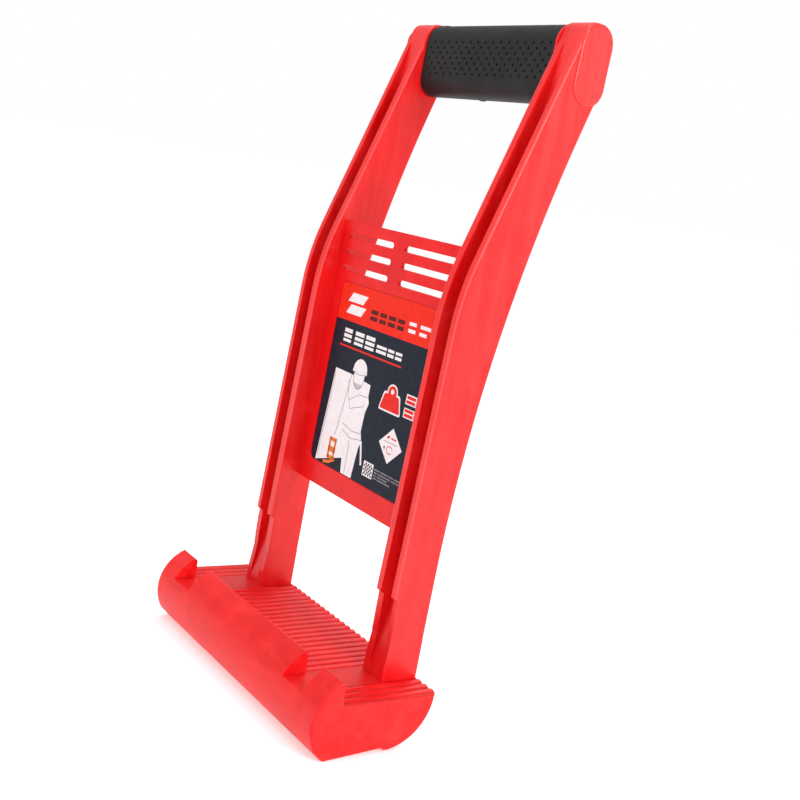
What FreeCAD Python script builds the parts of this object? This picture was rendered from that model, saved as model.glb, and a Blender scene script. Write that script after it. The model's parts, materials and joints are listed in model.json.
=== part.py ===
import FreeCAD, Part
import math
import os

# Hand-held carrier for plasterboard sheets: two curved channel rails stand on a half-round hook
# that takes the board's lower edge, with a vented panel between them and a grip across their tops.
# Millimetres. +X to the carrier's right, +Y away from the board, +Z up along the feet of the rails.
# Origin: mid-width, where the plane of the rail feet meets the top of the tray.

# tray and hook
tray_half = 90.6            # half of the overall width
tray_rear = 20.5            # rear edge of the deck
lip_face = -32.6            # face of the lip that holds the board
lip_round = ((-32.65, 9.4), (-33.15, 10.7))   # where its rounded tip starts, and its middle
lip_back_angle = 114.5      # where the tip meets the hook's curve, in degrees about its centre
hook_centre = (-24.4, -10.1)
hook_radius = 23.4
hook_low_angle = 214.0      # lower end of the hook's curve
base_front = (-40.3, -26.4)    # front corner of the hook: rounded off to the underside
base_corner = (-39.0, -27.6)
base_flat = (-36.9, -27.8)     # front end of the flat underside
base_step = (-6.3, -25.7)      # rear end of the flat underside
rear_toe = (-5.0, -26.9)       # the rear curve's toe stands a little below it
rear_foot = (-2.6, -27.1)      # lowest point of the rear curve
rear_mid = (13.2, -18.9)
rear_high = (20.3, -3.9)       # top of the rear curve, under the deck's edge
end_round = 1.5                # rounding where the tray's curves meet its end faces
wall = 3.2                  # moulded wall of the tray
deck = 3.5                  # deck thickness
cavity_front_high = 160.0   # upper end of the cavity's front curve, in degrees
cavity_front_mid = 184.0
cavity_rear_mid = (9.4, -15.6)   # middle of the cavity's rear curve
cover_seat = 2.0            # the cavity's floor lies this far under the end of its front curve
lip_hollow = ((-41.4, 1.6), (-35.8, 5.8))   # lower front and upper rear corners
lip_hollow_draft = (0.4, 1.6)    # its front and rear walls lean in this much
lip_hollow_round = 1.0
cover_thick = 2.4
cover_front = -34.8         # front edge of the opening the cover closes
cover_gap = 0.2
cover_fit = 0.1             # clearance around the cover
notch = (55.0, 74.0)        # the lip is cut away in front of each rail
tray_rib_places = (0.0, 28.0, 57.2, 71.8)
tray_rib_thick = 2.2
tray_rib_low = -23.2        # lower edge of the ribs under the deck

# rounded grip ribs on the deck
ridge_pitch = 5.4
ridge_half_height = 0.6
ridges_between = 20         # between the rails
ridges_outside = 3          # outside each rail
strip_outer = 73.6          # smooth strip under each rail ends here
ridge_root = -2.0           # the ridges are joined to the deck down to here

# rails
rail_in = 56.0
rail_out = 73.3
outer_wall = 3.8
inner_wall = 4.4
back_wall = 4.5
socket_height = 20.5        # line where the leg meets its socket on the tray
socket_gap = 0.2            # the socket is this much slimmer than the leg on every side
foot_front = (-0.4, -0.1, 8.0)   # front of the foot at the deck, at its bend, height of the bend
foot_bend_radius = 12.0
leg_front = 1.3             # front of the leg at the socket line
bead_foot = 42.3            # the thick front edge of each wall ends here
bead_front = -0.4
bead_under = (1.8, 40.6)    # the front is set back below it
bead_round = 0.8
front_bend = (7.9, 191.9)
front_bend_radius = 130.0
back_bend = (25.8, 168.0)
back_bend_radius = 780.0
edge_round = 0.9
foot_back = 20.0            # back of the foot at the deck
leg_back = 20.75            # and at the socket line
foot_ramp = ((-0.2, 2.0), (18.6, 92.0, 90.0))      # floor of the groove from the deck upwards
head_ramp = ((51.0, 254.0, 6.0), (45.9, 280.0, 3.0), (51.6, 314.5))   # and up to the handle
head_front = (55.3, 325.0, 6.0)  # corners of the head that carries the handle, with radii
head_back = (71.9, 325.0, 9.6)
head_low = (70.7, 290.9, 10.0)
head_neck = (66.3, 287.4, 2.0)
groove_ahead = -12.0        # the groove is cut from here, in front of the rail

# handle
handle_centre = (61.2, 305.3)
handle_tilt = 2.0           # degrees, top towards the rear
grip_size = (18.4, 38.7)    # across and along its rounded-end section
core_size = (13.2, 33.2)
bore_size = (7.6, 27.6)
collar_size = (20.8, 39.4)
collar_thick = 1.1
sleeve_round = 0.8
plug_centre = (60.8, 304.9)
plug_tilt = 3.2
plug_size = (18.9, 36.9)
plug_proud = 0.9
plug_round = 0.7
spigot_clearance = 0.1
plug_spigot = 9.0

# panel and label
panel_low = (12.7, 67.3)    # front face at the lower edge
panel_high = (18.9, 212.5)  # front face at the upper edge
panel_thick = 2.2
panel_round = 0.5
vent_rows = (204.9, 196.1, 187.3)
vent_span = (4.9, 50.2)
vent_height = 3.3
label_box = (46.4, 79.8, 180.4)   # half width, lower and upper height
label_corner = 5.0
label_recess = 0.45
label_thick = 0.3
label_margin = 0.35         # gap around it in its recess


def v(x, y, z):
    return FreeCAD.Vector(x, y, z)


def unit(a, b):
    length = math.hypot(b[0] - a[0], b[1] - a[1])
    return ((b[0] - a[0]) / length, (b[1] - a[1]) / length)


def round_corner(before, corner, after, radius):
    """Start, middle and end of the arc that rounds a corner of a flat outline."""
    back = unit(corner, before)
    ahead = unit(corner, after)
    half = math.acos(back[0] * ahead[0] + back[1] * ahead[1]) / 2
    reach = radius / math.tan(half)
    start = (corner[0] + back[0] * reach, corner[1] + back[1] * reach)
    end = (corner[0] + ahead[0] * reach, corner[1] + ahead[1] * reach)
    bisector = unit((0, 0), (back[0] + ahead[0], back[1] + ahead[1]))
    depth = radius / math.sin(half) - radius
    middle = (corner[0] + bisector[0] * depth, corner[1] + bisector[1] * depth)
    return start, middle, end


def outline(corners, place):
    """Closed wire through corners (a, b, radius); place turns (a, b) into a point in space."""
    edges = []
    spans = []
    for i, corner in enumerate(corners):
        before = corners[i - 1]
        after = corners[(i + 1) % len(corners)]
        radius = corner[2] if len(corner) > 2 else 0.0
        if radius > 0:
            spans.append(round_corner(before, corner, after, radius))
        else:
            spans.append((corner[:2], None, corner[:2]))
    for i, (start, middle, end) in enumerate(spans):
        if middle:
            edges.append(Part.Arc(place(*start), place(*middle), place(*end)).toShape())
        following = spans[(i + 1) % len(spans)][0]
        if math.hypot(end[0] - following[0], end[1] - following[1]) > 1e-6:
            edges.append(Part.LineSegment(place(*end), place(*following)).toShape())
    return Part.Wire(edges)


def slab(corners, low, high):
    """Solid with a side outline of (y, z) corners, between two values of x."""
    wire = outline(corners, lambda y, z: v(low, y, z))
    return Part.Face(wire).extrude(v(high - low, 0, 0))


def rounded_bar(centre, size, tilt, low, high):
    """Bar along X whose section is a long hole's shape, its long side upright but for the tilt."""
    half_width = size[0] / 2
    half_height = size[1] / 2
    corners = [(-half_width, -half_height), (half_width, -half_height),
               (half_width, half_height), (-half_width, half_height)]
    lean = math.radians(tilt)
    turned = []
    for a, b in corners:
        y = centre[0] + a * math.cos(lean) + b * math.sin(lean)
        z = centre[1] - a * math.sin(lean) + b * math.cos(lean)
        turned.append((y, z, half_width * 0.9999))
    return slab(turned, low, high)


def block(x0, x1, y0, y1, z0, z1):
    return Part.makeBox(x1 - x0, y1 - y0, z1 - z0, v(x0, y0, z0))


def edges_on_side(shape, x, above=-1e9):
    """Edges that lie in the plane at x and reach above a height."""
    chosen = []
    for edge in shape.Edges:
        box = edge.BoundBox
        if abs(box.XMin - x) < 1e-4 and abs(box.XMax - x) < 1e-4 and box.ZMax > above:
            chosen.append(edge)
    return chosen


def mirrored(shape):
    return shape.mirror(v(0, 0, 0), v(1, 0, 0))


def arc(a, b, c, x):
    return Part.Arc(v(x, *a), v(x, *b), v(x, *c)).toShape()


def line(a, b, x):
    return Part.LineSegment(v(x, *a), v(x, *b)).toShape()


def on_hook(angle, radius=hook_radius):
    turn = math.radians(angle)
    return (hook_centre[0] + radius * math.cos(turn), hook_centre[1] + radius * math.sin(turn))


def hook_body():
    """Outer form of the hook: lip, front curve, flat underside, rear curve and deck."""
    x = -tray_half
    lip_in, lip_mid = lip_round
    lip_back = on_hook(lip_back_angle)
    hook_low = on_hook(hook_low_angle)
    edges = [
        arc(lip_in, lip_mid, lip_back, x),
        arc(lip_back, on_hook((lip_back_angle + hook_low_angle) / 2), hook_low, x),
        line(hook_low, base_front, x),
        arc(base_front, base_corner, base_flat, x),
        line(base_flat, base_step, x),
        line(base_step, rear_toe, x),
        line(rear_toe, rear_foot, x),
        arc(rear_foot, rear_mid, rear_high, x),
        line(rear_high, (tray_rear, 0), x),
        line((tray_rear, 0), (lip_face, 0), x),
        line((lip_face, 0), lip_in, x),
    ]
    body = Part.Face(Part.Wire(edges)).extrude(v(2 * tray_half, 0, 0))
    ends = edges_on_side(body, -tray_half) + edges_on_side(body, tray_half)
    curved = [e for e in ends if on_curve(e)]
    return body.makeFillet(end_round, curved)


def on_curve(edge):
    """True for an end edge of the hook's front curve, of its underside or of the rear curve."""
    return edge.BoundBox.ZMin < -0.5 and edge.Length > end_round


def hook_cavity():
    """Space under the deck, open below between the front and rear walls."""
    inner = hook_radius - wall
    x = -tray_half + wall
    front_top = (on_hook(cavity_front_high, inner)[0], -deck)
    front_low = on_hook(hook_low_angle, inner)
    rear_top = (rear_high[0] - wall, -deck)
    mouth_front = (cover_front, front_low[1] - cover_seat)
    mouth_rear = (base_step[0] - cover_gap, base_step[1] + wall)
    below = base_flat[1] - wall
    edges = [
        line(rear_top, front_top, x),
        arc(front_top, on_hook(cavity_front_mid, inner), front_low, x),
        line(front_low, mouth_front, x),
        line(mouth_front, (mouth_front[0], below), x),
        line((mouth_front[0], below), (mouth_rear[0], below), x),
        line((mouth_rear[0], below), mouth_rear, x),
        arc(mouth_rear, cavity_rear_mid, rear_top, x),
    ]
    return Part.Face(Part.Wire(edges)).extrude(v(2 * (tray_half - wall), 0, 0))


def ridges(first, count):
    """Row of rounded ridges along Y, starting at x = first."""
    low = -ridge_half_height
    front = lip_face
    edges = []
    for i in range(count):
        x0 = first + i * ridge_pitch
        x1 = x0 + ridge_pitch
        crest = v((x0 + x1) / 2, front, ridge_half_height)
        edges.append(Part.Arc(v(x0, front, low), crest, v(x1, front, low)).toShape())
    last = first + count * ridge_pitch
    under = [v(last, front, low), v(last, front, ridge_root), v(first, front, ridge_root),
             v(first, front, low)]
    for start, end in zip(under, under[1:]):
        edges.append(Part.LineSegment(start, end).toShape())
    return Part.Face(Part.Wire(edges)).extrude(v(0, tray_rear - front, 0))


def lip_core(low, high):
    """Hollow that lightens the inside of the lip."""
    root, top = lip_hollow
    foot = -deck - 1
    front_draft, rear_draft = lip_hollow_draft
    corners = [(root[0], foot), (root[0] + front_draft, root[1], lip_hollow_round),
               (top[0] - rear_draft, top[1], lip_hollow_round), (top[0], top[1] - rear_draft),
               (top[0], foot)]
    return slab(corners, low, high)


def make_hook_tray():
    tray = hook_body()
    cavity = hook_cavity()
    cores = [lip_core(-notch[0] + wall, notch[0] - wall)]
    for sign in (1, -1):
        span = sorted((sign * (notch[1] + wall), sign * (tray_half - wall)))
        cores.append(lip_core(*span))
    cavity = cavity.fuse(cores).removeSplitter()
    supports = []
    for place in tray_rib_places:
        for sign in (1, -1) if place else (1,):
            x = sign * place
            supports.append(block(x - tray_rib_thick / 2, x + tray_rib_thick / 2,
                                  -60, 40, tray_rib_low, -1))
    cavity = cavity.cut(supports)
    tray = tray.cut(cavity)
    half_between = ridges_between * ridge_pitch / 2
    fields = [(-half_between, ridges_between),
              (strip_outer, ridges_outside),
              (-strip_outer - ridges_outside * ridge_pitch, ridges_outside)]
    for first, count in fields:
        last = first + count * ridge_pitch
        tray = tray.cut(block(first, last, lip_face, tray_rear + 1, ridge_root, 1))
        tray = tray.fuse(ridges(first, count))
    for sign in (1, -1):
        x0, x1 = sorted((sign * notch[0], sign * notch[1]))
        tray = tray.cut(block(x0, x1, -60, lip_face + 0.01, 0, 20))
    return tray.removeSplitter()


def make_tray_bottom_cover():
    """Plate that closes the hook from below, seated between its end walls."""
    slope = (base_step[1] - base_flat[1]) / (base_step[0] - base_flat[0])
    front = cover_front + cover_fit
    rear = base_step[0] - cover_gap - cover_fit
    under_front = base_step[1] + slope * (front - base_step[0])
    under_rear = base_step[1] + slope * (rear - base_step[0])
    corners = [(front, under_front), (rear, under_rear), (rear, under_rear + cover_thick),
               (front, under_front + cover_thick)]
    half = tray_half - wall - cover_fit
    return slab(corners, -half, half)


def groove():
    """Channel cut in the front of a rail: a ramp at the foot, the back wall, a ramp at the head."""
    floor = list(foot_ramp)
    floor.append((back_bend[0] - back_wall, back_bend[1], back_bend_radius + back_wall))
    floor.extend(head_ramp)
    corners = [(groove_ahead, foot_ramp[0][1])] + floor + [(groove_ahead, head_ramp[-1][1])]
    return slab(corners, rail_in + inner_wall, rail_out - outer_wall)


def rail_corners():
    return [
        (leg_front, socket_height),
        bead_under,
        (bead_front, bead_foot, bead_round),
        front_bend + (front_bend_radius,),
        head_front,
        head_back,
        head_low,
        head_neck,
        back_bend + (back_bend_radius,),
        (leg_back, socket_height),
    ]


def make_rail():
    """Right-hand rail, a channel open to the front with a solid head for the handle."""
    rail = slab(rail_corners(), rail_in, rail_out)
    sides = edges_on_side(rail, rail_in, bead_foot) + edges_on_side(rail, rail_out, bead_foot)
    rail = rail.makeFillet(edge_round, sides)
    rail = rail.cut(groove())
    bore = rounded_bar(plug_centre, bore_size, plug_tilt, rail_in - 1, rail_out + 1)
    return rail.cut(bore)


def make_leg_socket():
    """Right-hand stub on the tray that the rail stands on, a little slimmer than the rail."""
    front, bend, bend_height = foot_front
    corners = [(front, 0.0), (foot_back, 0.0), (leg_back - socket_gap, socket_height),
               (leg_front + socket_gap, socket_height), (bend, bend_height, foot_bend_radius)]
    stub = slab(corners, rail_in + socket_gap, rail_out - socket_gap)
    return stub.cut(groove())


def make_centre_panel():
    lean = (panel_high[0] - panel_low[0]) / (panel_high[1] - panel_low[1])
    corners = [panel_low + (panel_round,), panel_high + (panel_round,),
               (panel_high[0] + panel_thick, panel_high[1], panel_round),
               (panel_low[0] + panel_thick, panel_low[1], panel_round)]
    panel = slab(corners, -rail_in, rail_in)
    for height in vent_rows:
        for sign in (1, -1):
            x0, x1 = sorted((sign * vent_span[0], sign * vent_span[1]))
            panel = panel.cut(vent(x0, x1, height))
    return panel.cut(label_plate(label_recess, 0.0, lean, 6.0))


def vent(x0, x1, height):
    """Through slot with round ends, cut along Y."""
    half = vent_height / 2
    corners = [(x0, height - half, half * 0.9999), (x1, height - half, half * 0.9999),
               (x1, height + half, half * 0.9999), (x0, height + half, half * 0.9999)]
    wire = outline(corners, lambda x, z: v(x, 0, z))
    return Part.Face(wire).extrude(v(0, 40, 0))


def label_plate(depth, margin, lean, reach):
    """Rounded plate lying in the panel's front face, from `depth` inside it to `reach` in front."""
    half = label_box[0] - margin
    low = label_box[1] + margin
    high = label_box[2] - margin
    radius = label_corner - margin

    def place(x, z):
        return v(x, panel_low[0] + lean * (z - panel_low[1]) + depth, z)

    corners = [(-half, low, radius), (half, low, radius), (half, high, radius),
               (-half, high, radius)]
    wire = outline(corners, lambda x, z: v(x, 0, z))
    prism = Part.Face(wire).extrude(v(0, 60, 0))
    low_back = place(0, 0)
    high_back = place(0, 300)
    side = [(low_back.y - depth - reach, 0), (low_back.y, 0),
            (high_back.y, 300), (high_back.y - depth - reach, 300)]
    return prism.common(slab(side, -60, 60))


def make_label():
    lean = (panel_high[0] - panel_low[0]) / (panel_high[1] - panel_low[1])
    return label_plate(label_recess, label_margin, lean, label_thick - label_recess)


def make_handle_core():
    """Hollow crossbar with a thin collar at each end that the sleeve butts against."""
    bar = rounded_bar(handle_centre, core_size, handle_tilt, -rail_in, rail_in)
    for sign in (1, -1):
        x0, x1 = sorted((sign * rail_in, sign * (rail_in - collar_thick)))
        bar = bar.fuse(rounded_bar(handle_centre, collar_size, handle_tilt, x0, x1))
    bore = rounded_bar(plug_centre, bore_size, plug_tilt, -rail_in - 1, rail_in + 1)
    return bar.cut(bore).removeSplitter()


def make_grip_sleeve():
    half = rail_in - collar_thick
    sleeve = rounded_bar(handle_centre, grip_size, handle_tilt, -half, half)
    ends = edges_on_side(sleeve, -half) + edges_on_side(sleeve, half)
    sleeve = sleeve.makeFillet(sleeve_round, ends)
    return sleeve.cut(rounded_bar(handle_centre, core_size, handle_tilt, -half - 1, half + 1))


def make_end_plug():
    """Right-hand cap over the crossbar's open end, with a spigot pressed into the bore."""
    cap = rounded_bar(plug_centre, plug_size, plug_tilt, rail_out, rail_out + plug_proud)
    cap = cap.makeFillet(plug_round, edges_on_side(cap, rail_out + plug_proud))
    spigot_size = (bore_size[0] - spigot_clearance, bore_size[1] - spigot_clearance)
    spigot = rounded_bar(plug_centre, spigot_size, plug_tilt, rail_out - plug_spigot, rail_out)
    return cap.fuse(spigot).removeSplitter()


def build():
    rail = make_rail()
    socket = make_leg_socket()
    plug = make_end_plug()
    return {
        "hook_tray": make_hook_tray(),
        "tray_bottom_cover": make_tray_bottom_cover(),
        "left_leg_socket": mirrored(socket),
        "right_leg_socket": socket,
        "left_rail": mirrored(rail),
        "right_rail": rail,
        "centre_panel": make_centre_panel(),
        "label": make_label(),
        "handle_core": make_handle_core(),
        "grip_sleeve": make_grip_sleeve(),
        "left_end_plug": mirrored(plug),
        "right_end_plug": plug,
    }


os.makedirs("parts", exist_ok=True)
for name, shape in build().items():
    solids = shape.Solids
    box = shape.BoundBox
    print(name, "solids", len(solids), "valid", shape.isValid(), "volume", round(shape.Volume),
          "x", round(box.XMin, 1), round(box.XMax, 1), "y", round(box.YMin, 1), round(box.YMax, 1),
          "z", round(box.ZMin, 1), round(box.ZMax, 1))
    shape.exportStep("parts/" + name + ".step")
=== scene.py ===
import bpy
import json
import math
from mathutils import Matrix, Vector

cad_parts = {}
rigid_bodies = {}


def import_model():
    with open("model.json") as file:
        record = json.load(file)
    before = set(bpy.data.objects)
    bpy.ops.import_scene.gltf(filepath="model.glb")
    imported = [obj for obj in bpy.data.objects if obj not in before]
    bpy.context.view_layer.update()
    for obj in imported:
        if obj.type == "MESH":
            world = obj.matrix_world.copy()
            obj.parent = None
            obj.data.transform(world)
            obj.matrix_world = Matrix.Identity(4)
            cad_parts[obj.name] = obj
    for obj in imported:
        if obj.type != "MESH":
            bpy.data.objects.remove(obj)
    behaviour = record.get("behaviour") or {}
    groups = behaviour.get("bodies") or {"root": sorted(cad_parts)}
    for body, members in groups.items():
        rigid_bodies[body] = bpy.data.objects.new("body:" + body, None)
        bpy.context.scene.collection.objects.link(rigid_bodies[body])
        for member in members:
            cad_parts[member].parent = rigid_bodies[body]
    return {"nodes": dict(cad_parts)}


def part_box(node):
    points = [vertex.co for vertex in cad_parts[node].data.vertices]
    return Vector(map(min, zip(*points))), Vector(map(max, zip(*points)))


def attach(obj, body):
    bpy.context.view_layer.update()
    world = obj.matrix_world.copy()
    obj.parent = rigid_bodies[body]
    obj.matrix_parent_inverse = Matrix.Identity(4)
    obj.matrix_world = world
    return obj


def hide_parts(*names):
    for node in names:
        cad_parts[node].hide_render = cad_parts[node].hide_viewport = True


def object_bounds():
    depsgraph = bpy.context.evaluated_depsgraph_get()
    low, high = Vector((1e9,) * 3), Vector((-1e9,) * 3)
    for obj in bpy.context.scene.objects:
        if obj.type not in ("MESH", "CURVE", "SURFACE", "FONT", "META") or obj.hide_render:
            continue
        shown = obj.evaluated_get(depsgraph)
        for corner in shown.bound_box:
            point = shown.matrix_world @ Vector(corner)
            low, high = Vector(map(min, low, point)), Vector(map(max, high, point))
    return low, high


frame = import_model()
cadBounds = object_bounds()
nodes = frame["nodes"]
mm = 0.001
touching = 1e-6                 # points closer than this, in metres, are in line
print("frame loaded:", len(nodes), "moulded and fitted pieces")


class Signal:                                   # a value in a material; maths on it adds nodes
    def __init__(self, finish, socket):
        self.finish = finish
        self.socket = socket

    def calc(self, operation, *others, **settings):
        settings["operation"] = operation
        values = dict(enumerate((self,) + others))
        return self.finish.node("ShaderNodeMath", settings, values)[0]

    def __add__(self, other): return self.calc("ADD", other)
    def __radd__(self, other): return self.calc("ADD", other)
    def __sub__(self, other): return self.calc("SUBTRACT", other)
    def __mul__(self, other): return self.calc("MULTIPLY", other)
    def above(self, edge): return self.calc("GREATER_THAN", edge)
    def below(self, edge): return self.calc("LESS_THAN", edge)
    def size(self): return self.calc("ABSOLUTE")

    def between(self, low, high):               # 0 at low, 1 at high, held outside
        return ((self - low) * (1.0 / (high - low))).calc("ADD", 0.0, use_clamp=True)


class Finish:                                   # one material and the nodes in it
    def __init__(self, name):
        self.material = bpy.data.materials.new(name)
        self.material.use_nodes = True
        self.tree = self.material.node_tree
        self.shader = self.tree.nodes["Principled BSDF"]

    def node(self, kind, settings=None, values=None):
        made = self.tree.nodes.new(kind)
        for key, value in (settings or {}).items():
            setattr(made, key, value)
        for key, value in (values or {}).items():
            self.feed(made.inputs[key], value)
        return [Signal(self, s) for s in made.outputs]

    def feed(self, socket, value):
        if isinstance(value, Signal):
            self.tree.links.new(value.socket, socket)
        elif hasattr(value, "__len__") and len(value) == 3 and socket.type == "RGBA":
            socket.default_value = (*value, 1.0)
        else:
            socket.default_value = value

    def place(self, scale, shift):              # the piece's own coordinates, stretched and moved
        coords = self.node("ShaderNodeTexCoord")[3]
        values = {"Vector": coords, "Scale": scale, "Location": shift}
        return self.node("ShaderNodeMapping", {}, values)[0]

    def axis(self, index):                      # distance along X, Y or Z in metres
        coords = self.node("ShaderNodeTexCoord")[3]
        return self.node("ShaderNodeSeparateXYZ", {}, {"Vector": coords})[index]

    def noise(self, scale, detail, stretch=(1, 1, 1), roughness=0.5, distortion=0.0,
              shift=(0, 0, 0)):
        values = {"Vector": self.place(stretch, shift), "Scale": scale, "Detail": detail,
                  "Roughness": roughness, "Distortion": distortion}
        return self.node("ShaderNodeTexNoise", {}, values)[0]

    def mix(self, amount, first, second):
        made = self.tree.nodes.new("ShaderNodeMix")
        made.data_type = "RGBA"
        self.feed(made.inputs[0], amount)
        self.feed(made.inputs[6], first)
        self.feed(made.inputs[7], second)
        return Signal(self, made.outputs[2])

    def bump(self, height, distance, strength, under=None):
        values = {"Height": height, "Distance": distance, "Strength": strength}
        if under is not None:
            values["Normal"] = under
        return self.node("ShaderNodeBump", {}, values)[0]

    def set(self, **values):                    # names as on the shader, with _ for a space
        for key, value in values.items():
            self.feed(self.shader.inputs[key.replace("_", " ")], value)
        return self.material


redPlastic = {
    "body": (0.78, 0.0055, 0.0070),
    "deep": (0.66, 0.0035, 0.0050),
    # pale tone of the flow marks and patches, and also of the painted highlight
    "pale": (0.94, 0.040, 0.038),
    # painted highlight colour for the rounded front edges
    "edge": (0.95, 0.085, 0.085),
    "shade": (0.42, 0.0012, 0.0018),
    "edgeHighlightSpans": ((56.04 * mm, 56.86 * mm), (72.44 * mm, 73.27 * mm)),  # the rounded edges, across, where a highlight is painted
    "deckFront": -32.0 * mm,
    "ridge": 0.6 * mm,
    # painted highlight on the lit +X side: the heights where it starts and is full, and the span
    # across x where it fades in
    "highlightHeights": (0.14, 0.33),
    "highlightAcross": (0.057, 0.0715),
    "clouds": {"scale": 30.0, "detail": 3.0},
    "patches": {"scale": 75.0, "detail": 4.0, "shift": (0.3, 0.1, 0.2), "roughness": 0.6},
    "flow": {"scale": 150.0, "detail": 4.0, "distortion": 0.6},
    "fine": {"scale": 330.0, "detail": 2.0},
    "grain": {"scale": 5200.0, "detail": 1.0},
    "skin": {"scale": 900.0, "detail": 2.0},
    "sink": (0.35 * mm, 0.5),   # depth and strength of each bump
    "wave": (0.16 * mm, 0.6),
    "close": (0.02 * mm, 0.35),
    # roughness, specular, amount of pale flow marks, their run along each axis, painted highlight
    # that grows with height on the lit +X side
    "looks": {
        "redRail": (0.33, 0.42, 0.80, (2.2, 1.0, 0.10), 1.0),
        "redLeg": (0.34, 0.42, 0.45, (2.2, 1.0, 0.10), 0.0),
        "redTray": (0.42, 0.24, 0.80, (0.25, 1.2, 1.2), 0.0),
        "redPanel": (0.34, 0.20, 0.15, (0.6, 1.0, 0.6), 0.0),
        "redCap": (0.28, 0.46, 0.90, (2.0, 2.4, 0.08), 1.6),
        "redFlash": (0.45, 0.42, 0.90, (1.0, 1.0, 1.0), 0.0),
    },
    "wornBy": {
        "redRail": ("left_rail", "right_rail", "handle_core"),
        "redLeg": ("left_leg_socket", "right_leg_socket"),
        "redTray": ("hook_tray", "tray_bottom_cover"),
        "redPanel": ("centre_panel", "label"),
        "redCap": ("left_end_plug", "right_end_plug"),
    },
}


def makeRedPlastic(name, roughness, specular, marks, run, litSideHighlight):
    f = Finish(name)
    clouds = f.noise(**redPlastic["clouds"])
    patches = f.noise(**redPlastic["patches"])
    flow = f.noise(stretch=run, **redPlastic["flow"])
    fine = f.noise(stretch=run, **redPlastic["fine"])
    grain = f.noise(**redPlastic["grain"])
    skin = f.noise(**redPlastic["skin"])
    # painted highlight: parts on the lit +X side grow paler towards the top
    high = f.axis(2).between(*redPlastic["highlightHeights"]) * litSideHighlight
    high = high * f.axis(0).between(*redPlastic["highlightAcross"])
    colour = f.mix(clouds.between(0.35, 0.7), redPlastic["body"], redPlastic["deep"])
    colour = f.mix(high * 0.5, colour, redPlastic["pale"])
    # the pale flow marks are real, but they are made stronger where the painted highlight is
    streaks = flow.between(0.42, 0.72) * marks * (0.40 + high * 0.5)
    colour = f.mix(streaks, colour, redPlastic["pale"])
    colour = f.mix(patches.between(0.5, 0.72) * 0.28, colour, redPlastic["pale"])
    if name == "redRail":                          # painted highlight along the rounded front edges of the rails
        across = f.axis(0).size()
        for low, high in redPlastic["edgeHighlightSpans"]:
            edge = across.above(low) * across.below(high)
            colour = f.mix(edge * (0.30 + patches * 0.5), colour, redPlastic["edge"])
    if name == "redTray":                          # painted shade in the valleys between the ridges
        ridge = redPlastic["ridge"]
        valley = f.axis(2).between(ridge, -ridge) * f.axis(2).above(-1.5 * ridge)
        valley = valley * f.axis(1).above(redPlastic["deckFront"])
        colour = f.mix(valley * 0.9, colour, redPlastic["shade"])
    rough = roughness + (skin - 0.5) * 0.10 + (flow - 0.5) * 0.16 + (patches - 0.5) * 0.12
    sink = f.bump(clouds, *redPlastic["sink"])
    wave = f.bump(flow * 0.7 + fine * 0.3, *redPlastic["wave"], sink)
    close = f.bump(skin * 0.6 + grain * 0.4, *redPlastic["close"], wave)
    return f.set(Base_Color=colour, Roughness=rough, Normal=close, Specular_IOR_Level=specular)


blackRubber = {
    "body": (0.0080, 0.0076, 0.0088),
    "worn": (0.0150, 0.0140, 0.0155),
    "dust": (0.040, 0.037, 0.037),
    "roughness": 0.56,
    "specular": 0.24,
    "skin": (0.03 * mm, 0.4),   # depth and strength of the bump
    "wornBy": ("grip_sleeve",),
}


def makeBlackRubber():
    f = Finish("blackRubber")
    clouds = f.noise(70.0, 4.0)
    skin = f.noise(2600.0, 2.0)
    dust = f.noise(420.0, 5.0, roughness=0.7)
    colour = f.mix(clouds.between(0.35, 0.7), blackRubber["body"], blackRubber["worn"])
    colour = f.mix(dust.between(0.62, 0.8) * 0.3, colour, blackRubber["dust"])
    rough = blackRubber["roughness"] + (dust - 0.5) * 0.18
    pores = f.bump(skin, *blackRubber["skin"])
    return f.set(Base_Color=colour, Roughness=rough, Normal=pores,
                 Specular_IOR_Level=blackRubber["specular"])


finishes = {"rubber": makeBlackRubber()}
for name, look in redPlastic["looks"].items():
    finishes[name] = makeRedPlastic(name, *look)
print("finishes made:", ", ".join(finishes))


def objectMode():
    if bpy.context.object and bpy.context.object.mode != "OBJECT":
        bpy.ops.object.mode_set(mode="OBJECT")


def deselectAll():
    objectMode()
    for thing in bpy.context.view_layer.objects:
        thing.select_set(False)


def editMode():
    bpy.ops.object.mode_set(mode="EDIT")


def pickFaces(piece, test):                     # test gets a face's centre and normal
    objectMode()
    for polygon in piece.data.polygons:
        polygon.select = test(polygon.center, polygon.normal)
    for edge in piece.data.edges:
        edge.select = False
    for vertex in piece.data.vertices:
        vertex.select = False
    bpy.context.tool_settings.mesh_select_mode = (False, False, True)
    editMode()


def pickEdges(piece, test):                     # test gets both ends of an edge
    objectMode()
    points = piece.data.vertices
    for polygon in piece.data.polygons:
        polygon.select = False
    for vertex in points:
        vertex.select = False
    for edge in piece.data.edges:
        a, b = (points[i].co for i in edge.vertices)
        edge.select = test(a, b)
        if edge.select:
            points[edge.vertices[0]].select = True
            points[edge.vertices[1]].select = True
    bpy.context.tool_settings.mesh_select_mode = (False, True, False)
    editMode()


def newPiece(name):
    piece = bpy.context.object
    piece.name = name
    piece.data.name = name
    return piece


def applyModifiers(piece):
    objectMode()
    bpy.context.view_layer.objects.active = piece
    for modifier in list(piece.modifiers):
        bpy.ops.object.modifier_apply(modifier=modifier.name)


def joinPieces(parts):
    deselectAll()
    for part in parts:
        part.select_set(True)
    bpy.context.view_layer.objects.active = parts[0]
    bpy.ops.object.join()
    return bpy.context.object


def finishPiece(piece, material, replaced=()):
    objectMode()
    piece.data.materials.clear()
    piece.data.materials.append(material)
    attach(piece, "root")
    if replaced:
        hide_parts(*replaced)


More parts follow.
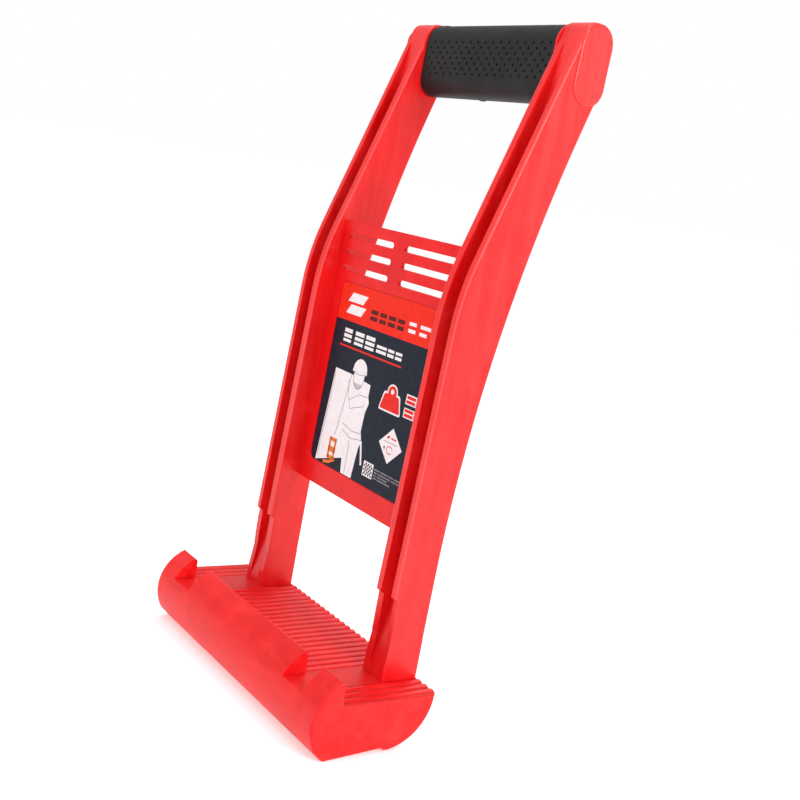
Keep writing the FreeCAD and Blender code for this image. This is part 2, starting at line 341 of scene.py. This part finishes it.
grip = {
    "width": 18.4 * mm,
    "height": 38.7 * mm,
    "tilt": math.radians(2.0),
    "columns": 34,              # half the dimple pitch each
    "rows": 7,
    "plainRow": 1.0 * mm,       # flat strip left below the lowest row
    "arcSteps": 10,
    "dimpleBorder": 0.62 * mm,
    "dimpleLip": 0.16 * mm,
    "dimpleDepth": 0.85 * mm,
    "rimStep": (0.95, 0.975),   # the rim's first step in, across and along
    "rimScale": (0.74, 0.875),  # inner wall against the outer, across and along
    "weld": 0.02 * mm,
    "marks": (((-50.2, 0.0, 18.75), (4.4, 2.6, 0.85)), ((-8.0, 1.0, -19.1), (2.6, 1.4, 0.5))),
}


def makeGrip():
    low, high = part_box("grip_sleeve")
    length = high.x - low.x
    straight = grip["height"] - grip["width"]
    half = straight / 2
    cell = length / grip["columns"]
    row = (straight - grip["plainRow"]) / grip["rows"]
    deselectAll()
    bpy.ops.mesh.primitive_grid_add(x_subdivisions=grip["columns"],
                                    y_subdivisions=grip["rows"] + 1, size=1)
    piece = newPiece("rubber_grip")
    editMode()
    bpy.ops.mesh.select_all(action="SELECT")
    bpy.ops.transform.resize(value=(length, straight, 1))
    bpy.ops.transform.rotate(value=-math.pi / 2, orient_axis="X", center_override=(0, 0, 0))
    objectMode()
    for vertex in piece.data.vertices:             # one low plain row, the others alike above it
        line = round((vertex.co.z / straight + 0.5) * (grip["rows"] + 1))
        vertex.co.z = -half + (grip["plainRow"] + (line - 1) * row if line else 0)
    editMode()
    bpy.ops.transform.translate(value=(0, -grip["width"] / 2, 0))
    bpy.ops.mesh.duplicate()
    bpy.ops.transform.rotate(value=math.pi, orient_axis="X", center_override=(0, 0, 0))
    for side in (1, -1):
        end = side * half

        def frontEnd(a, b):
            level = abs(a.z - end) < touching and abs(b.z - end) < touching
            return level and a.y < 0 and b.y < 0

        pickEdges(piece, frontEnd)
        bpy.ops.mesh.spin(steps=grip["arcSteps"], angle=side * math.pi,
                          center=(0, 0, end), axis=(1, 0, 0))
    editMode()
    bpy.ops.mesh.select_all(action="SELECT")
    bpy.ops.mesh.remove_doubles(threshold=grip["weld"])
    bpy.ops.mesh.normals_make_consistent(inside=False)

    def dimpled(centre, normal):
        column = round((centre.x + length / 2) / cell - 0.5)
        up = centre.z if centre.y < 0 else -centre.z
        line = round((up + half - grip["plainRow"]) / row - 0.5)
        flat = abs(normal.y) > 0.99 and line >= 0 and 1 <= column <= grip["columns"] - 2
        return flat and (column + line) % 2 == 0

    pickFaces(piece, dimpled)
    bpy.ops.mesh.inset(thickness=grip["dimpleBorder"], use_individual=True)
    bpy.ops.mesh.inset(thickness=grip["dimpleLip"], depth=-grip["dimpleDepth"],
                       use_individual=True)
    bpy.ops.mesh.inset(thickness=grip["dimpleLip"], use_individual=True)
    stepY, stepZ = grip["rimStep"]
    scaleY, scaleZ = grip["rimScale"]
    for side in (1, -1):
        edge = side * length / 2
        centre = (edge, 0, 0)
        pickEdges(piece, lambda a, b: abs(a.x - edge) < touching and abs(b.x - edge) < touching)
        bpy.ops.mesh.extrude_region_move()
        bpy.ops.transform.resize(value=(1, stepY, stepZ), center_override=centre)
        bpy.ops.mesh.extrude_region_move()
        bpy.ops.transform.resize(value=(1, scaleY / stepY, scaleZ / stepZ), center_override=centre)
    wide = scaleY * grip["width"] / 2 + touching
    tall = scaleZ * (half + grip["width"] / 2) + touching

    def innerRim(a, b):
        inside = max(abs(a.y), abs(b.y)) < wide and max(abs(a.z), abs(b.z)) < tall
        return inside and abs(abs(a.x) - length / 2) < touching and abs(a.x - b.x) < touching

    pickEdges(piece, innerRim)
    bpy.ops.mesh.bridge_edge_loops()
    bpy.ops.mesh.select_all(action="SELECT")
    bpy.ops.mesh.normals_make_consistent(inside=False)
    objectMode()
    smooth = piece.modifiers.new("soften", "SUBSURF")
    smooth.levels = 2
    applyModifiers(piece)
    parts = [piece]
    for centre, size in grip["marks"]:
        deselectAll()
        bpy.ops.mesh.primitive_uv_sphere_add(segments=24, ring_count=12, radius=1)
        mark = newPiece("grip_mark")
        editMode()
        bpy.ops.mesh.select_all(action="SELECT")
        bpy.ops.transform.resize(value=[c * mm for c in size])
        bpy.ops.transform.translate(value=[c * mm for c in centre])
        objectMode()
        parts.append(mark)
    piece = joinPieces(parts)
    editMode()
    bpy.ops.mesh.select_all(action="SELECT")
    bpy.ops.mesh.faces_shade_smooth()
    bpy.ops.transform.rotate(value=grip["tilt"], orient_axis="X", center_override=(0, 0, 0))
    bpy.ops.transform.translate(value=(low + high) / 2)
    finishPiece(piece, finishes["rubber"], ("grip_sleeve",))
    print("grip sleeve:", len(piece.data.polygons), "faces")


printed = {
    "lean": 0.0427,             # the panel's face leans back this much per unit of height
    "low": (12.7, 67.3),
    "front": 0.15,              # the label lies this far under the panel's face
    "thick": 0.3,
    "half": 46.05,
    "bottom": 80.15,
    "split": 160.0,
    "top": 180.05,
    "corner": 3.72,
    "layer": 0.03,              # each level of print lies this much above the one below
    "film": 0.02,
    "line": 0.32,
    "specular": 0.12,
    "mottle": (0.01 * mm, 0.3),  # depth and strength of the bump
    "inks": {
        "inkNavy": ((0.0050, 0.0095, 0.0200), (0.0090, 0.0150, 0.0270)),
        "inkOrange": ((0.84, 0.022, 0.006), (0.78, 0.016, 0.004)),
        "inkWhite": ((0.86, 0.80, 0.82), (0.80, 0.73, 0.75)),
        "inkRed": ((0.78, 0.020, 0.012), (0.70, 0.014, 0.010)),
        "inkBrown": ((0.085, 0.006, 0.005), (0.12, 0.008, 0.006)),
        "inkGrey": ((0.24, 0.22, 0.24), (0.33, 0.30, 0.32)),
        "inkAmber": ((0.80, 0.19, 0.03), (0.72, 0.15, 0.02)),
    },
}


def makeInk(name, colours):
    f = Finish(name)
    mottle = f.noise(300.0, 3.0)
    scuffs = f.noise(140.0, 4.0, stretch=(1, 1, 3.0), roughness=0.7)
    colour = f.mix(mottle.between(0.3, 0.7), colours[0], colours[1])
    rough = 0.42 + (scuffs - 0.5) * 0.2
    return f.set(Base_Color=colour, Roughness=rough, Normal=f.bump(mottle, *printed["mottle"]),
                 Specular_IOR_Level=printed["specular"])


def ringOf(points, corner, steps=6):               # outline with every corner rounded
    ring = []
    for i, point in enumerate(points):
        here = Vector(point)
        back = (Vector(points[i - 1]) - here).normalized()
        ahead = (Vector(points[(i + 1) % len(points)]) - here).normalized()
        for k in range(steps + 1):
            t = k / steps
            start = here + back * corner
            end = here + ahead * corner
            ring.append(tuple(start * (1 - t) ** 2 + here * 2 * t * (1 - t) + end * t ** 2))
    return ring


def boxOf(x0, x1, z0, z1):
    return [(x0, z0), (x1, z0), (x1, z1), (x0, z1)]


def ovalOf(x, z, rx, rz, count=28, start=0.0, sweep=360.0):
    turns = [math.radians(start + sweep * i / count) for i in range(count + (sweep < 360))]
    return [(x + rx * math.cos(t), z + rz * math.sin(t)) for t in turns]


def strokeOf(points, width):                       # a line of a given width through points
    left = []
    right = []
    for i, point in enumerate(points):
        before = Vector(points[max(i - 1, 0)])
        after = Vector(points[min(i + 1, len(points) - 1)])
        along = (after - before).normalized()
        side = Vector((-along.y, along.x)) * width / 2
        left.append(tuple(Vector(point) + side))
        right.append(tuple(Vector(point) - side))
    return right + left[::-1]


def printShape(outline, ink, level, thick=printed["film"]):
    area = sum(a[0] * b[1] - b[0] * a[1] for a, b in zip(outline, outline[1:] + outline[:1]))
    if area < 0:
        outline = outline[::-1]
    deselectAll()
    bpy.ops.mesh.primitive_circle_add(vertices=len(outline), radius=1, fill_type="NGON")
    piece = newPiece("print")
    for vertex, (x, z) in zip(piece.data.vertices, outline):
        y = printed["low"][0] + printed["lean"] * (z - printed["low"][1]) + printed["front"]
        y -= level * printed["layer"]
        vertex.co = (x * mm, y * mm, z * mm)
    sheet = piece.modifiers.new("sheet", "SOLIDIFY")
    sheet.thickness = thick * mm
    sheet.offset = -1
    piece.data.update()
    applyModifiers(piece)
    piece.data.materials.append(finishes[ink])
    return piece


def makeLabel():
    for name, colours in printed["inks"].items():
        finishes[name] = makeInk(name, colours)
    half, bottom, split, top = (printed[k] for k in ("half", "bottom", "split", "top"))
    field = ringOf(boxOf(-half, half, bottom, top), printed["corner"])
    shapes = [(field, "inkNavy", 0, printed["thick"])]
    band = [p for p in field if p[1] > split] + [(-half, split), (half, split)]
    middle = (split + top) / 2
    band.sort(key=lambda p: math.atan2(p[1] - middle, p[0]))
    shapes.append((band, "inkOrange", 1))
    for z in (164.0, 170.4):                       # two stacked sheets
        sheet = [(-37.8, z), (-22.6, z), (-18.8, z + 5.0), (-34.0, z + 5.0)]
        shapes.append((sheet, "inkWhite", 2))
    for x0, x1 in ((-13.5, -6.7), (-4.8, 1.5), (3.4, 10.3), (12.1, 18.4)):
        shapes.append((boxOf(x0, x1, 167.6, 169.8), "inkBrown", 2))
        shapes.append((boxOf(x0, x1, 164.2, 166.4), "inkBrown", 2))
    for x1, z0, z1 in ((41.5, 168.4, 170.2), (38.8, 164.8, 166.6)):
        shapes.append((boxOf(22.5, 28.9, z0, z1), "inkWhite", 2))
        shapes.append((boxOf(32.5, x1, z0, z1), "inkWhite", 2))
    for x0, x1 in ((-35.4, -27.6), (-24.4, -15.6), (-13.6, -4.8)):
        for z0, z1 in ((153.9, 156.0), (151.2, 153.0), (148.8, 150.3)):
            shapes.append((boxOf(x0, x1, z0, z1), "inkWhite", 1))
    for x0, x1 in ((-2.3, 7.2), (8.6, 14.4), (15.8, 21.8)):
        shapes.append((boxOf(x0, x1, 149.2, 150.8), "inkWhite", 1))
        shapes.append((boxOf(x0, x1, 151.7, 153.2), "inkWhite", 1))
    shapes.append((boxOf(-37.9, 22.8, 146.0, 147.0), "inkRed", 1))
    shapes.extend(workerShapes())
    shapes.extend(noticeShapes())
    pieces = [printShape(*shape) for shape in shapes]
    piece = joinPieces(pieces)
    piece.name = "printed_label"
    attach(piece, "root")
    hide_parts("label")
    print("label:", len(shapes), "printed shapes")


def workerShapes():                                # a helmeted figure that holds a board by a carrier
    board = [(-37.2, 133.4), (-20.5, 133.2), (-1.0, 131.6), (-1.0, 124.0), (-14.9, 88.2),
             (-40.6, 80.5)]
    body = [(-22.5, 131.5), (-17.5, 129.5), (-8.0, 129.5), (-1.5, 126.5), (0.8, 122.0),
            (-1.2, 116.5), (-1.6, 106.5), (0.6, 101.5), (-1.0, 97.0), (-1.6, 92.0),
            (-2.6, 80.4), (-13.2, 80.4), (-14.6, 88.0), (-19.4, 98.0), (-22.5, 97.0),
            (-25.5, 96.0), (-25.2, 99.0), (-22.0, 112.0), (-22.0, 121.0)]
    shapes = [(board, "inkWhite", 1), (body, "inkWhite", 2)]
    shapes.append((ovalOf(-13.2, 132.6, 5.4, 6.2), "inkWhite", 2))
    shapes.append((ovalOf(-13.2, 136.6, 6.7, 6.2, 20, 0, 180), "inkWhite", 3))
    shapes.append((boxOf(-20.2, -6.2, 135.4, 136.7), "inkWhite", 3))
    lines = [
        [(-20.2, 135.4), (-13.0, 134.4), (-6.2, 135.4)],
        [(-18.4, 134.8), (-17.6, 129.8), (-14.0, 127.2), (-10.2, 127.8), (-8.2, 131.0),
         (-7.8, 134.8)],
        [(-21.6, 130.0), (-20.4, 122.4), (-16.0, 115.4), (-3.0, 119.6)],
        [(-18.6, 119.4), (-9.6, 124.4), (-1.4, 124.8)],
        [(-20.0, 106.4), (-10.0, 104.2), (0.0, 105.4)],
        [(-19.6, 103.0), (-10.0, 100.4), (0.4, 102.0)],
        [(-10.6, 99.0), (-9.8, 90.0), (-9.8, 81.0)],
        [(-20.4, 133.0), (-23.6, 110.0), (-25.6, 98.0)],
        [(-36.4, 131.6), (-39.2, 84.0)],
    ]
    for points in lines:
        shapes.append((strokeOf(points, printed["line"]), "inkGrey", 4))
    shapes.append((strokeOf([(0.4, 101.6), (2.2, 96.0), (4.2, 89.6)], 1.5), "inkWhite", 1))
    carrier = [(-29.6, -27.8, 84.6, 96.2), (-24.2, -22.4, 84.6, 96.2), (-29.6, -22.4, 94.4, 96.4),
               (-29.6, -22.4, 88.4, 91.4), (-29.6, -22.4, 84.4, 86.4)]
    for box in carrier:
        shapes.append((boxOf(*box), "inkAmber", 5))
    shapes.append((strokeOf([(-32.4, 81.6), (-27.0, 82.6), (-21.4, 85.2)], 1.7), "inkAmber", 5))
    return shapes


def noticeShapes():                                # load plate, diamond, pattern block and fine bars
    shapes = []
    for grow, ink, level in ((0.9, "inkWhite", 1), (0.0, "inkRed", 2)):    # a weight, its ring
        body = [(10.6 - grow, 122.9 - grow), (29.2 + grow, 122.9 - grow),
                (26.4 + grow, 131.4 + grow), (13.4 - grow, 131.4 + grow)]
        shapes.append((ringOf(body, 1.6), ink, level))
        shapes.append((ovalOf(19.9, 132.6, 3.9 + grow, 3.4 + grow), ink, level + 0.3))
    shapes.append((ovalOf(19.9, 133.0, 1.5, 1.3, 18), "inkWhite", 3))
    for z0, z1 in ((130.0, 135.2), (123.2, 128.2)):
        shapes.append((boxOf(32.5, 41.6, z0, z1), "inkWhite", 1))
        for low, high in ((0.6, 2.2), (2.9, 4.5)):
            shapes.append((boxOf(33.2, 40.9, z0 + low, z0 + high), "inkRed", 2))
    x, z = 27.1, 106.3
    shapes.append(([(x - 10.6, z), (x, z - 9.3), (x + 10.6, z), (x, z + 9.3)], "inkWhite", 1))
    scrap = [(x - 4.6, z + 3.4), (x - 2.4, z + 3.4), (x - 1.0, z + 4.8), (x - 3.2, z + 4.8)]
    shapes.append((scrap, "inkRed", 2))
    shapes.append((boxOf(x - 0.4, x + 4.4, z + 3.6, z + 4.3), "inkRed", 2))
    shapes.append((boxOf(x - 6.6, x + 6.2, z + 1.4, z + 1.75), "inkGrey", 2))
    shapes.append((strokeOf(ovalOf(x, z - 2.2, 2.6, 1.9, 18, 20, 300), 0.5), "inkRed", 2))
    shapes.append((ovalOf(x - 5.0, z - 1.8, 0.9, 0.9, 14), "inkGrey", 2))
    shapes.append((boxOf(6.9, 16.3, 85.4, 93.2), "inkWhite", 1))
    cellX, cellZ = 1.15, 1.1
    for i in range(7):                             # even chequer
        for k in range(6):
            if (i + k) % 2 == 0:
                x0, z0 = 7.6 + i * cellX, 86.0 + k * cellZ
                shapes.append((boxOf(x0, x0 + cellX, z0, z0 + cellZ), "inkNavy", 2))
    dashRows = [
        (91.3, ((17.6, 23.0), (23.6, 30.2), (30.9, 35.6), (36.3, 41.5))),
        (89.7, ((17.6, 20.6), (21.4, 33.0), (33.8, 41.0))),
        (88.2, ((17.6, 20.2), (21.0, 30.6))),
        (86.7, ((17.6, 20.8), (21.5, 33.6))),
    ]
    dashPitch, dashLength, dashHalf = 1.15, 0.72, 0.42
    for z0, ends in dashRows:
        for x0, x1 in ends:
            steps = round((x1 - x0) / dashPitch)
            for i in range(steps):
                start = x0 + (x1 - x0) * i / steps
                dash = boxOf(start, start + dashLength, z0 - dashHalf, z0 + dashHalf)
                shapes.append((dash, "inkGrey", 1))
    return shapes


flash = {                       # thin ragged ridges that the mould left on the legs' front edges
    "steps": 26,
    "root": 0.15 * mm,
    "thick": 0.14 * mm,
    "front": (1.3 * mm, 20.5 * mm, 0.0249),     # the leg's front at a height, its lean above it
    "ridges": {
        "right_leg_flash": {"across": 73.3 * mm, "from": 23.0 * mm, "to": 41.0 * mm,
                            "reach": 0.55 * mm},
        "left_leg_flash": {"across": -73.3 * mm, "from": 25.0 * mm, "to": 40.0 * mm,
                           "reach": 0.32 * mm},
    },
}


def makeFlash(name, ridge):
    deselectAll()
    bpy.ops.mesh.primitive_grid_add(x_subdivisions=flash["steps"], y_subdivisions=1, size=1)
    piece = newPiece(name)
    y0, z0, lean = flash["front"]
    out = Vector((math.copysign(1, ridge["across"]), -1, 0)).normalized()
    for vertex in piece.data.vertices:
        t = vertex.co.x + 0.5
        z = ridge["from"] + (ridge["to"] - ridge["from"]) * t
        ragged = 0.55 + 0.25 * math.sin(19 * t) + 0.2 * math.sin(47 * t + 1)
        reach = -flash["root"]
        if vertex.co.y > 0:
            reach = ridge["reach"] * ragged * math.sin(math.pi * t) ** 0.4
        vertex.co = Vector((ridge["across"], y0 + lean * (z - z0), z)) + out * reach
    sheet = piece.modifiers.new("sheet", "SOLIDIFY")
    sheet.thickness = flash["thick"]
    sheet.offset = 0
    applyModifiers(piece)
    editMode()
    bpy.ops.mesh.select_all(action="SELECT")
    bpy.ops.mesh.normals_make_consistent(inside=False)
    finishPiece(piece, finishes["redFlash"])


for look, wearers in {"rubber": blackRubber["wornBy"], **redPlastic["wornBy"]}.items():
    for name in wearers:
        nodes[name].data.materials.clear()
        nodes[name].data.materials.append(finishes[look])

makeGrip()
makeLabel()
for name, ridge in flash["ridges"].items():
    makeFlash(name, ridge)
print("mould flash:", len(flash["ridges"]), "ridges")


stage = {
    "floorSize": 400.0,
    "floorColours": ((0.74, 0.74, 0.74), (0.78, 0.78, 0.78)),
    "floorGlow": 0.40,          # keeps the pale floor as bright as the backdrop behind it
    "backdrop": 1.0,
    "skyLight": 0.78,
    "lamps": {
        "key": {"place": (-0.35, -0.45, 1.5), "size": 0.55, "power": 5},
        "side": {"place": (0.85, 0.08, 0.47), "size": 0.3, "power": 4.8},
        "rear": {"place": (-0.6, 0.9, 1.0), "size": 0.5, "power": 4},
        "edge": {"place": (0.75, -1.05, 0.55), "size": 0.3, "power": 1.5},
    },
    "aim": (0, 0.02, 0.14),
}
cameraView = {
    "azimuth": 54.55,
    "elevation": 10.3,
    "roll": 9.5,
    "distance": 0.6266,
    "aim": (0.0139, 0.0252, 0.1277),
    "lens": 54.34,
}


def makeCamera():
    a = math.radians(cameraView["azimuth"])
    e = math.radians(cameraView["elevation"])
    away = Vector((math.sin(a) * math.cos(e), -math.cos(a) * math.cos(e), math.sin(e)))
    data = bpy.data.cameras.new("camera")
    data.lens = cameraView["lens"]
    camera = bpy.data.objects.new("camera", data)
    bpy.context.scene.collection.objects.link(camera)
    place = Vector(cameraView["aim"]) + away * cameraView["distance"]
    roll = Matrix.Rotation(math.radians(cameraView["roll"]), 4, "Z")
    turn = away.to_track_quat("Z", "Y").to_matrix().to_4x4() @ roll
    camera.matrix_world = Matrix.Translation(place) @ turn
    bpy.context.scene.camera = camera


def makeLight(name, lamp):
    data = bpy.data.lights.new(name, "AREA")
    data.shape = "DISK"
    data.size = lamp["size"]
    data.energy = lamp["power"]
    light = bpy.data.objects.new(name, data)
    bpy.context.scene.collection.objects.link(light)
    place = Vector(lamp["place"])
    turn = (place - Vector(stage["aim"])).to_track_quat("Z", "Y").to_matrix().to_4x4()
    light.matrix_world = Matrix.Translation(place) @ turn


def makeStage():
    floor = Finish("paleFloor")
    shade = floor.noise(3.0, 2.0)
    floor.set(Base_Color=floor.mix(shade, *stage["floorColours"]), Roughness=0.9,
              Emission_Color=(1.0, 1.0, 1.0), Emission_Strength=stage["floorGlow"])
    deselectAll()
    bpy.ops.mesh.primitive_plane_add(size=stage["floorSize"], location=(0, 0, cadBounds[0].z))
    plane = newPiece("floor")
    plane.data.materials.append(floor.material)
    world = bpy.data.worlds.new("studio")
    bpy.context.scene.world = world
    world.use_nodes = True
    tree = world.node_tree
    backdrop = tree.nodes["Background"]
    backdrop.inputs[0].default_value = (1, 1, 1, 1)
    seen = tree.nodes.new("ShaderNodeLightPath")
    strength = tree.nodes.new("ShaderNodeMapRange")
    strength.inputs["To Min"].default_value = stage["skyLight"]
    strength.inputs["To Max"].default_value = stage["backdrop"]
    tree.links.new(seen.outputs["Is Camera Ray"], strength.inputs["Value"])
    tree.links.new(strength.outputs[0], backdrop.inputs[1])
    for name, lamp in stage["lamps"].items():
        makeLight(name, lamp)
    bpy.context.scene.view_settings.view_transform = "Standard"


makeCamera()
makeStage()
print("camera, floor and lights set")
